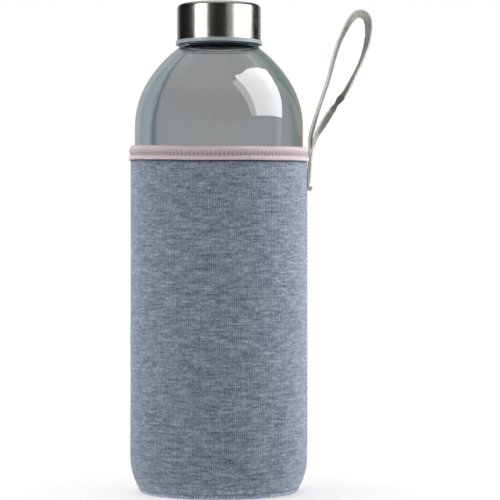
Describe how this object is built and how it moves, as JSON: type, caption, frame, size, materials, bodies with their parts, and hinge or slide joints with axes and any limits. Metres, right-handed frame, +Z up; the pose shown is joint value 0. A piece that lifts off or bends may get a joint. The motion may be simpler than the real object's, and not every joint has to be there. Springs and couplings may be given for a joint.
{
  "type": "water bottle",
  "caption": "Screw-top glass water bottle with a domed shoulder, in a fitted padded knit sleeve with a bound top edge and a wrist loop sewn to its side.",
  "frame": {"origin": "on the surface that the bottle stands on, under the middle of the bottle", "axes": "+Z up along the bottle's axis, +X towards the side that carries the wrist loop"},
  "size_m": [0.1234, 0.092, 0.249],
  "materials": {
    "glass": "clear, faintly grey-green",
    "steel": "brushed round the lid",
    "liner_plastic": "satin, pale blue-grey",
    "seal_rubber": "soft, translucent white",
    "knit": "fine heathered knit",
    "foam": "closed-cell foam",
    "lining": "smooth knit",
    "binding": "folded woven tape",
    "binding_thread": "sewing thread",
    "seam_thread": "sewing thread",
    "tape": "fibrous woven tape",
    "tape_thread": "sewing thread"
  },
  "bodies": {
    "sleeve": {"sleeve_knit": "knit", "sleeve_foam": "foam", "sleeve_lining": "lining", "base_knit": "knit", "base_foam": "foam", "base_lining": "lining", "top_binding": "binding", "binding_stitching": "binding_thread", "side_seam_stitching": "seam_thread", "base_seam_stitching": "seam_thread", "strap_tail": "tape", "strap_stitching": "tape_thread"},
    "strap": {"strap_loop": "tape"},
    "bottle": {"bottle_glass": "glass"},
    "seal": {"lid_seal": "seal_rubber"},
    "lid": {"lid_shell": "steel", "lid_liner": "liner_plastic"}
  },
  "joints": [
    {"name": "bottle_slide", "type": "slide", "parent": "sleeve", "child": "bottle", "axis": [0, 0, 1], "range_m": [0, 0.19]},
    {"name": "lid_rise", "type": "slide", "parent": "bottle", "child": "seal", "axis": [0, 0, 1], "range_m": [0, 0.0212]},
    {"name": "lid_turn", "type": "hinge", "parent": "seal", "child": "lid", "pos_m": [0, 0, 0.24], "axis": [0, 0, 1], "range_deg": [0, 1800]},
    {"name": "strap_swing", "type": "hinge", "parent": "sleeve", "child": "strap", "pos_m": [0.0489, 0, 0.17535], "axis": [0, 1, 0], "range_deg": [0, 155]}
  ],
  "couplings": [
    {"joint": "lid_rise", "follows": "lid_turn", "m_per_rad": 0.00066845}
  ]
}
